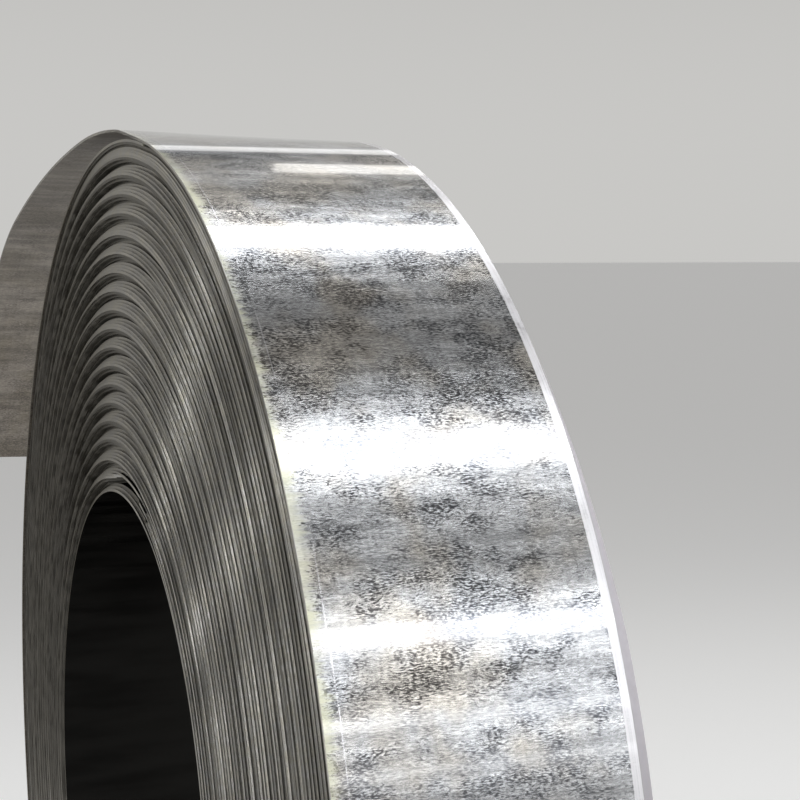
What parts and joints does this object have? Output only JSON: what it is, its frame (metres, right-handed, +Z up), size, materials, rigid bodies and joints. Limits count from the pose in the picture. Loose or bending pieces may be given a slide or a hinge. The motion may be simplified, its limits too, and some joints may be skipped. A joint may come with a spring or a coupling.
{
  "type": "steel coil",
  "caption": "Coil of slit galvanised steel strip wound round an open bore, with woven ends and a loose outer end that springs off over the top.",
  "frame": {"origin": "middle of the bore, on its axis and half way along the strip's width", "axes": "+X along the bore's axis, +Y towards the rear where the loose outer end runs off, +Z up; the coil lies on the floor at z = -0.520 m with its bore level"},
  "size_m": [0.1876, 1.404, 1.0459],
  "materials": {
    "galvanised_steel": "hot-dip galvanised, mottled, with bare slit edges"
  },
  "bodies": {
    "root": {"steel_coil": "galvanised_steel"}
  },
  "joints": []
}
